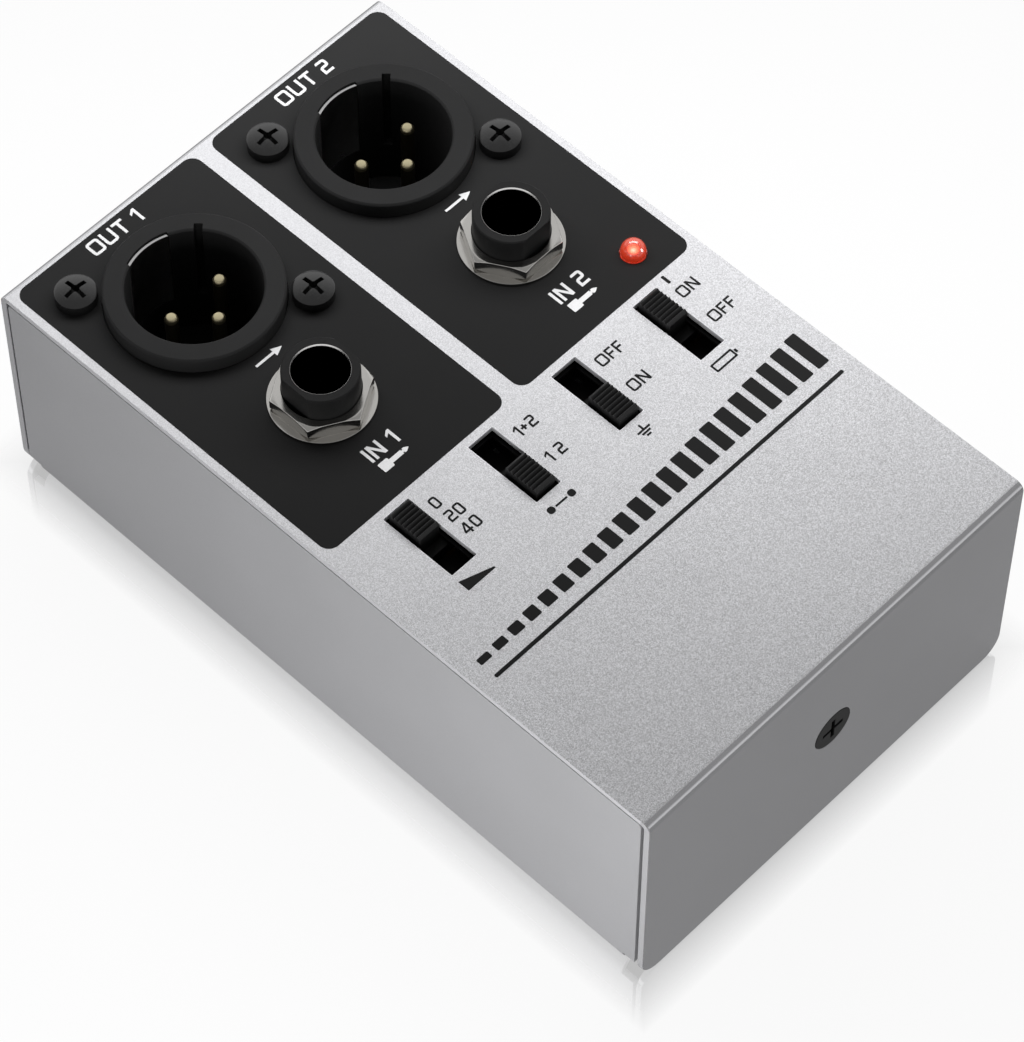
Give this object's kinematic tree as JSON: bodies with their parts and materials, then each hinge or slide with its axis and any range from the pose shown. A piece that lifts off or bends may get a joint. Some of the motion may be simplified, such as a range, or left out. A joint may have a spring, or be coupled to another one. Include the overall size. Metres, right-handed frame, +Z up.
{
  "type": "direct injection box",
  "caption": "Small folded-metal direct injection box with XLR outputs and phone-jack inputs on top, sliding level, mode, ground and battery switches, and a battery inside.",
  "frame": {"origin": "middle of the underside of the tray, on the surface the box stands on", "axes": "+X to the right across the box with channel 1 at -X, +Y to the rear end where the XLR sockets are, +Z up"},
  "size_m": [0.06, 0.0996, 0.0388],
  "materials": {
    "silver_paint": "fine textured metallic silver powder coat, satin",
    "grey_paint": "smooth grey metallic paint, satin",
    "black_steel": "black-oxide steel, satin",
    "zinc_steel": "zinc-plated steel",
    "black_plastic": "moulded glass-filled black plastic, matt",
    "pin_plating": "pale gold-plated brass, polished",
    "latch_steel": "bright stamped steel",
    "nickel": "nickel-plated brass, polished",
    "spring_bronze": "phosphor bronze, bright",
    "lamp_red": "moulded translucent red resin, glossy",
    "tinned_wire": "tinned copper, satin",
    "white_nylon": "moulded natural nylon",
    "switch_knob": "moulded black acetal, satin",
    "phenolic": "punched brown phenolic sheet",
    "board": "glass-epoxy board with green solder mask",
    "chip_black": "moulded black epoxy",
    "can_sleeve": "shrunk dark blue sleeve on an aluminium can",
    "film_red": "dipped red epoxy",
    "resistor_tan": "tan lacquer",
    "battery_jacket": "plain printed steel jacket without lettering",
    "lead_red": "red PVC insulation",
    "lead_black": "black PVC insulation",
    "foam": "open-cell black foam"
  },
  "bodies": {
    "case": {"top_cover": "silver_paint", "bottom_tray": "grey_paint", "case_screws": "black_steel", "xlr_screws": "black_steel", "clinch_nuts": "zinc_steel", "battery_clip": "zinc_steel", "battery_terminals": "zinc_steel", "xlr_1_shell": "black_plastic", "xlr_2_shell": "black_plastic", "jack_1_body": "black_plastic", "jack_2_body": "black_plastic", "board_headers": "black_plastic", "battery_snap": "black_plastic", "xlr_1_pins": "pin_plating", "xlr_2_pins": "pin_plating", "header_pins": "pin_plating", "xlr_1_latch_plate": "latch_steel", "xlr_2_latch_plate": "latch_steel", "jack_1_sleeve": "nickel", "jack_2_sleeve": "nickel", "jack_nuts": "nickel", "jack_washers": "nickel", "jack_1_springs": "spring_bronze", "jack_2_springs": "spring_bronze", "lamp_lens": "lamp_red", "lamp_wires": "tinned_wire", "switch_terminals": "tinned_wire", "chip_legs": "tinned_wire", "lamp_spacer": "white_nylon", "attenuation_switch_base": "phenolic", "attenuation_switch_frame": "black_steel", "mode_switch_base": "phenolic", "mode_switch_frame": "black_steel", "ground_switch_base": "phenolic", "ground_switch_frame": "black_steel", "battery_switch_base": "phenolic", "battery_switch_frame": "black_steel", "main_board": "board", "switch_board": "board", "amplifier_chips": "chip_black", "electrolytic_capacitors": "can_sleeve", "film_capacitors": "film_red", "resistors": "resistor_tan", "battery": "battery_jacket", "battery_lead_red": "lead_red", "battery_lead_black": "lead_black", "battery_foam": "foam"},
    "attenuation_slider": {"attenuation_knob": "switch_knob", "attenuation_wiper": "spring_bronze"},
    "mode_slider": {"mode_knob": "switch_knob", "mode_wiper": "spring_bronze"},
    "ground_slider": {"ground_knob": "switch_knob", "ground_wiper": "spring_bronze"},
    "battery_slider": {"battery_knob": "switch_knob", "battery_wiper": "spring_bronze"}
  },
  "joints": [
    {"name": "attenuation_slide", "type": "slide", "parent": "case", "child": "attenuation_slider", "axis": [0, 1, 0], "range_m": [-0.0048, 0]},
    {"name": "mode_slide", "type": "slide", "parent": "case", "child": "mode_slider", "axis": [0, 1, 0], "range_m": [0, 0.0048]},
    {"name": "ground_slide", "type": "slide", "parent": "case", "child": "ground_slider", "axis": [0, 1, 0], "range_m": [0, 0.0048]},
    {"name": "battery_slide", "type": "slide", "parent": "case", "child": "battery_slider", "axis": [0, 1, 0], "range_m": [-0.0048, 0]}
  ]
}
